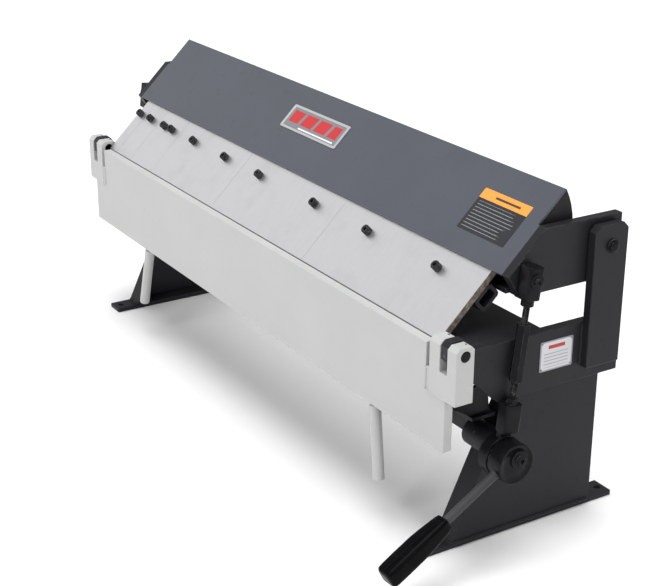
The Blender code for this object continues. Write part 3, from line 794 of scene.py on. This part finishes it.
def grip_rings(side):
    """Superellipse rings; the half size follows the stations, with a ridge at two opposite angles."""
    stations = np.array([(108.0, 8.2), (109.0, 9.0), (111.0, 9.5), (123.0, 10.5), (138.0, 11.7),
                         (152.0, 12.3), (176.0, 12.5), (196.0, 12.3), (200.5, 11.9), (202.2, 10.8),
                         (202.9, 9.0)])
    d = np.concatenate([np.linspace(108.0, 196.0, 60), np.linspace(196.5, 202.9, 14)])
    half = np.interp(d, stations[:, 0], stations[:, 1])
    half = np.convolve(np.pad(half, 2, mode="edge"), np.ones(5) / 5.0, mode="valid")
    path = np.array([on_lever(side, t) for t in d])
    across = np.array((1.0, 0.0, 0.0))
    rings = carried(path, half, half, across, GRIP_POWER, 96, GRIP_TURN)
    a = angles(96) + GRIP_TURN
    ridge = np.exp(-((np.mod(a + 0.15, np.pi) - np.pi / 2) / RIDGE_WIDE) ** 2) * RIDGE_HIGH
    centre = path[:, None, :]
    return centre + (rings - centre) * (1.0 + ridge[None, :, None] / half[:, None, None])


for side, s in SIDES.items():
    out = np.array((s, 0.0, 0.0))
    quarter = np.linspace(0, np.pi / 2, 6)
    face = [(HUB_DEPTH - HUB_EDGE * (1 - math.sin(t)), HUB_R - HUB_EDGE * (1 - math.cos(t))) for t in quarter]
    dish = [(22.9, 21.6), (22.5, 20.9), (22.45, 13.5), (22.6, 12.9), (22.6, 0.5)]
    hub = turned(at(s * HUB_X, *CAM), out, [(0.05, HUB_R - 1.4), (0.9, HUB_R)] + face + dish, 96)
    cam = turned(at(s * CAM_X[0], *CAM), out, rounded(0.0, CAM_X[1] - CAM_X[0], CAM_R, 0.5))
    foot = on_lever(side, BAR_START)
    along = on_lever(side, BAR_END) - foot
    bar = turned(foot, along, rounded(0.0, BAR_END - BAR_START, BAR_R, 0.5))
    flare = [((BEAD[1] - BEAD[0]) * t, BAR_R - 0.1 + 2.3 * (1.0 - t) ** 2) for t in np.linspace(0.0, 1.0, 9)]
    bead = turned(on_lever(side, BEAD[0]), along, flare, 48)
    painted = ringed(side + "_painted_bar", [bar, bead])
    fit(painted, BAR_PAINT, side + "_lever", "black_steel")
    piece = ringed(side + "_eccentric_hub", [hub, cam])
    fit(piece, GLOSS_HUB, side + "_lever", "black_steel", side + "_cam_lever")
    grip = ringed(side + "_moulded_grip", [grip_rings(side)], 60.0)
    fit(grip, GRIP_BLACK, side + "_lever", "black_grip", side + "_lever_grip")
print("levers made")

# %% [markdown]
# ## Oil holes
#
# Each hinge lug has a small oil hole in its top and the tongue between them has one in front; the
# shaft boss has one too. A hole this small reads as a black dot with a slight lip, so each one is a
# shallow turned cup that stands a hair proud: up the outside, over the lip, and down to a floor.
# Cutting the enamelled bodies instead would cost a boolean for each dot and show nothing more.

# %% Oil holes in the lugs and the tongue
HOLE_R = 1.5
HOLE_LIP = 0.12
HOLE_FLOOR = 0.04
LUG_HOLE_X = (469.0, 501.0)
LUG_HOLE_Y = 6.0
TONGUE_HOLE = (486.0, 274.0)
GREASE_ANGLE = math.radians(35.0)
GREASE_IN = 20.0


def oil_cup(centre, normal):
    """Cup of revolution: radius R up to the lip, then 0.8 R down to a floor just over the surface."""
    return turned(centre, normal, [(0.02, HOLE_R), (HOLE_LIP, HOLE_R - 0.1), (HOLE_LIP, 0.85 * HOLE_R),
                                   (HOLE_FLOOR, 0.8 * HOLE_R), (HOLE_FLOOR, 0.05)], 32)


for side, s in SIDES.items():
    lug_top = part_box(side + "_hinge_block")[1][2] / MM
    cups = [oil_cup(at(s * x, LUG_HOLE_Y, lug_top), (0.0, 0.0, 1.0)) for x in LUG_HOLE_X]
    fit(ringed(side + "_lug_oil_holes", cups), BLACK_STEEL, "leaf", "black_steel")

    ear_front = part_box(side + "_bed_end")[0][1]
    place = np.array((s * TONGUE_HOLE[0] * MM, ear_front, TONGUE_HOLE[1] * MM))
    cup = oil_cup(place, (0.0, -1.0, 0.0))
    fit(ringed(side + "_tongue_oil_hole", [cup]), BLACK_STEEL, "frame", "black_steel")

lift = np.array((-math.cos(GREASE_ANGLE), math.sin(GREASE_ANGLE)))
for side, s in SIDES.items():
    cup = oil_cup(at(boss_start(s) + GREASE_IN, *(SHAFT + BOSS_R * lift)), np.array((0.0, *lift)))
    fit(ringed(side + "_boss_grease_hole", [cup]), BLACK_STEEL, "frame", "black_steel")
print("oil holes made")

# %% [markdown]
# ## Plates on the machine
#
# Three thin plates dress the machine: a badge on the beam, a two-colour sticker beside it and a
# riveted data plate on the bed end. They carry only plain blocks and rules, no writing. Each
# is a stack of rounded rectangles, inset a little at each step, and its UV map is simply how far
# across and up a point is, so the blocks of colour are written as bands of u and v.

# %% Plaques with flat UVs


def on_slope(x, length, off):
    """World point on the finger slope: length up it from the bend, off out of it."""
    y = length * math.cos(SLOPE) - off * math.sin(SLOPE)
    z = BEND_Z + length * math.sin(SLOPE) + off * math.cos(SLOPE)
    return at(x, y, z)


def rounded_rectangle(w, h, r, n=6):
    """Four corner arcs of radius r, anticlockwise from the right-hand side."""
    t = np.linspace(0.0, np.pi / 2.0, n)
    quarter = np.arange(4)[:, None] * np.pi / 2.0
    x = np.array((1, -1, -1, 1))[:, None] * (w / 2 - r) + r * np.cos(quarter + t)
    y = np.array((1, 1, -1, -1))[:, None] * (h / 2 - r) + r * np.sin(quarter + t)
    return np.stack([x.ravel(), y.ravel()], axis=1)


def plaque(name, middle, across, up, w, h, thick, r, rim=0.0, sink=0.3):
    """Rings of a plate: up its edge, over a small bevel, and down into a field inside a raised rim."""
    out = np.cross(unit(across), unit(up))
    steps = [(0.0, 0.0), (thick - 0.2, 0.0), (thick, 0.2)]
    if rim:
        steps += [(thick, rim), (thick - sink, rim + 0.35)]
    rings = []
    for height, inset in steps:
        flat = rounded_rectangle(w - 2 * inset, h - 2 * inset, max(r - inset, 0.25)) * MM
        rings.append(middle + flat[:, :1] * unit(across) + flat[:, 1:] * unit(up) + out * height * MM)
    piece = ringed(name, [np.array(rings)], 25.0)
    mesh = piece.data
    where = np.empty(len(mesh.vertices) * 3)
    mesh.vertices.foreach_get("co", where)
    where = where.reshape(-1, 3) - middle
    flat = np.stack([where @ unit(across) / (w * MM) + 0.5, where @ unit(up) / (h * MM) + 0.5], axis=1)
    corner = np.empty(len(mesh.loops), dtype=np.int32)
    mesh.loops.foreach_get("vertex_index", corner)
    mesh.uv_layers.new(name="flat").data.foreach_set("uv", flat[corner].ravel())
    return piece


# %% Bands of colour on the plates


def band(value, low, high):
    return (value > low) * (value < high)


def plate_finish(name, base, rough, metal):
    f = Finish(name, base, rough, metal)
    return f, f.axis("X", "UV"), f.axis("Y", "UV")


def badge_finish():
    f, u, v = plate_finish("badge, silver and red", (0.62, 0.62, 0.63), 0.3, 0.9)
    slant = u * 4.1 - v * 0.22
    gap = abs(f.level("ShaderNodeMath", {"operation": "FRACT"}, {0: slant}) - 0.5) < 0.41
    block = gap * band(u, 0.075, 0.925) * band(v, 0.30, 0.80)
    rule = band(u, 0.30, 0.92) * band(v, 0.13, 0.19)
    field = band(u, 0.035, 0.965) * band(v, 0.09, 0.91)
    silver = f.blend(field, (0.60, 0.60, 0.62), (0.30, 0.31, 0.33))
    red = f.blend(block, silver, (0.50, 0.012, 0.016))
    f.set("Base Color", f.blend(rule, red, (0.75, 0.75, 0.76)))
    f.set("Metallic", 0.9 - 0.85 * block.max(rule))
    f.set("Roughness", 0.28 + 0.1 * f.noise(90.0, 3.0))
    return f.material


def sticker_finish():
    f, u, v = plate_finish("two-colour sticker", (0.02, 0.025, 0.05), 0.34, 0.0)
    orange = v > 0.765
    row = f.level("ShaderNodeMath", {"operation": "FRACT"}, {0: v * 13.0})
    ragged = f.noise(1.0, 0.0, 0.5, f.add("ShaderNodeMapping", None, {
        "Vector": f.place("UV"), "Scale": (2.0, 60.0, 1.0)}).outputs[0])
    rule = (row < 0.16) * band(v, 0.07, 0.70) * (u > 0.06) * (u < 0.62 + 0.45 * ragged)
    body = f.blend(rule * 0.75, (0.010, 0.011, 0.015), (0.36, 0.37, 0.40))
    mark = band(u, 0.30, 0.82) * band(v, 0.85, 0.90)
    head = f.blend(mark, (0.90, 0.33, 0.045), (0.05, 0.03, 0.02))
    f.set("Base Color", f.blend(orange, body, head))
    return f.material


def data_plate_finish():
    f, u, v = plate_finish("stamped data plate", (0.50, 0.50, 0.52), 0.32, 0.9)
    row = f.level("ShaderNodeMath", {"operation": "FRACT"}, {0: v * 9.0})
    rule = (row < 0.2) * band(v, 0.12, 0.64) * band(u, 0.12, 0.86)
    red = band(u, 0.25, 0.75) * band(v, 0.72, 0.84)
    field = band(u, 0.04, 0.96) * band(v, 0.05, 0.95)
    metal = f.blend(field, (0.25, 0.25, 0.27), (0.52, 0.52, 0.54))
    print_ = f.blend(rule * 0.7, metal, (0.06, 0.06, 0.07))
    f.set("Base Color", f.blend(red, print_, (0.45, 0.02, 0.02)))
    f.set("Metallic", 0.9 - 0.8 * red.max(rule))
    return f.material


X_WAY = np.array((1.0, 0.0, 0.0))
UP_SLOPE = np.array((0.0, math.cos(SLOPE), math.sin(SLOPE)))
PLATE_FACE = 4.12
badge = plaque("beam_badge", on_slope(-12.8, 173.6, PLATE_FACE), X_WAY, UP_SLOPE, 147.0, 38.7, 1.2, 2.5, 3.2)
fit(badge, badge_finish(), "clamp_beam", "beam_enamel")
sticker = plaque("beam_sticker", on_slope(407.8, 159.5, PLATE_FACE), X_WAY, UP_SLOPE, 88.4, 59.0, 0.3, 1.5)
fit(sticker, sticker_finish(), "clamp_beam", "beam_enamel")

END_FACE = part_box("right_bed_end")[1][0] / MM
Y_WAY = np.array((0.0, 1.0, 0.0))
Z_WAY = np.array((0.0, 0.0, 1.0))
data_plate = plaque("data_plate", at(END_FACE + 0.02, 145.7, 242.7), Y_WAY, Z_WAY, 49.5, 38.5, 0.7, 2.0)
fit(data_plate, data_plate_finish(), "frame", "dark_enamel")
dome = [(0.0, 1.5), (0.35, 1.45), (0.7, 1.1), (0.9, 0.6), (0.98, 0.1)]
rivets = [turned(at(END_FACE + 0.7, 145.7 + dy, 242.7 + dz), X_WAY, dome, 24)
          for dy in (-22.0, 22.0) for dz in (-16.5, 16.5)]
fit(ringed("data_plate_rivets", rivets, 60.0), PIN_STEEL, "frame", "pin_steel")
print("badge, sticker and data plate made")

# %% [markdown]
# ## Weld beads
#
# The frame is welded from plate, and the beads show where its parts meet. A bead is a half
# buried tube whose radius ripples every couple of millimetres, one ripple for each time the
# welder moved on. It is painted with whatever it joins.

# %% Beads along the joints


def weld_rings(points, radius=2.1, pitch=2.6, step=0.65):
    """Tube along a polyline; radius = r * (1 + ripple(distance / pitch)), tapering at both ends."""
    points = np.array(points)
    legs = np.linalg.norm(np.diff(points, axis=0), axis=1) / MM
    along = np.concatenate([[0.0], np.cumsum(legs)])
    d = np.arange(0.0, along[-1], step)
    path = np.stack([np.interp(d, along, points[:, k]) for k in range(3)], axis=1)
    drift = 0.07 * np.sin(d * 0.41) * np.sin(d * 0.173 + 1.0)
    ripple = 1.0 + 0.10 * np.abs(np.sin(np.pi * d / pitch)) + drift
    taper = np.sqrt(np.clip(np.minimum(d, along[-1] - d) / (1.2 * radius), 0.02, 1.0))
    across = unit(np.cross(path[-1] - path[0], (0.31, 0.52, 0.79)))
    return carried(path, radius * ripple * taper, radius * ripple * taper, across, 2.0, 14)


FOOT_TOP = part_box("right_foot")[1][2] / MM
STAND = [np.array(c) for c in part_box("right_stand")]
STAND_X = STAND[1][0] / MM
STAND_Y = [side_view(c)[0] for c in STAND]
UPRIGHT = [np.array(c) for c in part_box("right_upright")]
BLOCK = [np.array(c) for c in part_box("right_hinge_block")]


def foot_welds(s):
    z = FOOT_TOP + 0.4
    front = STAND_Y[0] + 0.4
    return [weld_rings([at(s * (STAND_X - 30.0), front, z), at(s * STAND_X, front, z)], 2.4),
            weld_rings([at(s * STAND_X, front + 1.0, z), at(s * STAND_X, STAND_Y[1] - 2.0, z)], 2.4)]


def upright_welds(s):
    low, high = side_view(UPRIGHT[0]), side_view(UPRIGHT[1])
    x = s * (END_FACE + 0.2)
    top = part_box("right_bed_end")[1][2] / MM - 18.0
    return [weld_rings([at(x, low[0], low[1] + 1.0), at(x, low[0], top)], 1.9),
            weld_rings([at(x, low[0] + 1.0, low[1]), at(x, high[0] - 1.0, low[1])], 1.9)]


def block_welds(s):
    low = side_view(BLOCK[0])
    x0, x1 = BLOCK[0][0] / MM, BLOCK[1][0] / MM
    y = low[0] + 1.4
    return [weld_rings([at(s * (x0 + 1.0), y, low[1]), at(s * (x1 - 21.0), y, low[1])], 1.8),
            weld_rings([at(s * x0, y, low[1] + 0.5), at(s * x0, y, low[1] + 29.0)], 1.8)]


for side, s in SIDES.items():
    fit(ringed(side + "_stand_welds", foot_welds(s), 60.0), CHARCOAL, "frame", "dark_enamel")
    fit(ringed(side + "_upright_welds", upright_welds(s), 60.0), CHARCOAL, "frame", "dark_enamel")
    fit(ringed(side + "_hinge_block_welds", block_welds(s), 60.0), WHITE, "leaf", "white_enamel")
print("weld beads laid")

# %% [markdown]
# ## Floor, lamps and camera
#
# A product picture wants a white table and soft light. One lamp stands high in front, a weaker
# one on the right lifts the dark end plates, a broad panel fills from the left, and a very soft
# sun overhead stands in for a white ceiling. The camera stands to the right of the
# front and looks down a little, with a lens of about 80 mm so the far end does not shrink much.

# %% Table


def table_finish():
    f = Finish("white table", (0.95, 0.95, 0.95), 0.7)
    f.set("Roughness", 0.65 + 0.1 * f.noise(3.0, 2.0))
    return f.material


HALF = 12.0
table = mesh_piece("table", np.array([(-HALF, -HALF, 0.0), (HALF, -HALF, 0.0), (HALF, HALF, 0.0),
                                      (-HALF, HALF, 0.0)]), [(0, 1, 2, 3)])
table.data.materials.append(table_finish())

# %% Lamps


def softbox(name, place, target, size, watts):
    light = bpy.data.lights.new(name, "AREA")
    light.size = size
    light.energy = watts
    lamp = bpy.data.objects.new(name, light)
    back = unit(np.array(place) - np.array(target))
    right = unit(np.cross((0.0, 0.0, 1.0), back))
    up = np.cross(back, right)
    turn = np.eye(4)
    turn[:3, 0], turn[:3, 1], turn[:3, 2], turn[:3, 3] = right, up, back, place
    lamp.matrix_world = Matrix(turn.tolist())
    bpy.context.scene.collection.objects.link(lamp)


softbox("key in front", (0.85, -2.55, 2.30), (0.0, 0.0, 0.25), 1.2, 35.0)
softbox("right side", (2.9, 0.3, 1.5), (0.3, 0.0, 0.2), 1.0, 11.0)
softbox("broad left panel", (-2.4, -1.1, 1.7), (0.0, 0.0, 0.3), 2.6, 13.0)
ceiling = bpy.data.lights.new("bright ceiling", "SUN")
ceiling.energy = 2.6
ceiling.angle = math.radians(50.0)
bpy.context.scene.collection.objects.link(bpy.data.objects.new("bright ceiling", ceiling))
world = bpy.data.worlds.new("white room")
world.use_nodes = True
world.node_tree.nodes["Background"].inputs["Color"].default_value = (1.0, 1.0, 1.0, 1.0)
world.node_tree.nodes["Background"].inputs["Strength"].default_value = 0.34
bpy.context.scene.world = world
bpy.context.scene.view_settings.view_transform = "Standard"
print("lamps lit")

# %% Camera
AZIMUTH = math.radians(58.24)
ELEVATION = math.radians(21.78)
ROLL = math.radians(0.21)
LENS = 79.23
STAND_POINT = at(1659.6, -892.4, 932.9)


def camera_axes():
    """Right, up and back axes: level and turned by the azimuth, tipped down, then rolled."""
    right = np.array((math.cos(AZIMUTH), math.sin(AZIMUTH), 0.0))
    forward = np.array((-math.sin(AZIMUTH) * math.cos(ELEVATION), math.cos(AZIMUTH) * math.cos(ELEVATION),
                        -math.sin(ELEVATION)))
    up = np.cross(right, forward)
    c, s = math.cos(ROLL), math.sin(ROLL)
    return right * c + up * s, up * c - right * s, -forward


lens = bpy.data.cameras.new("camera")
lens.lens = LENS
lens.sensor_width = 36.0
camera = bpy.data.objects.new("camera", lens)
pose = np.eye(4)
pose[:3, 0], pose[:3, 1], pose[:3, 2] = camera_axes()
pose[:3, 3] = STAND_POINT
camera.matrix_world = Matrix(pose.tolist())
bpy.context.scene.collection.objects.link(camera)
bpy.context.scene.camera = camera
print("camera at", STAND_POINT.round(3))
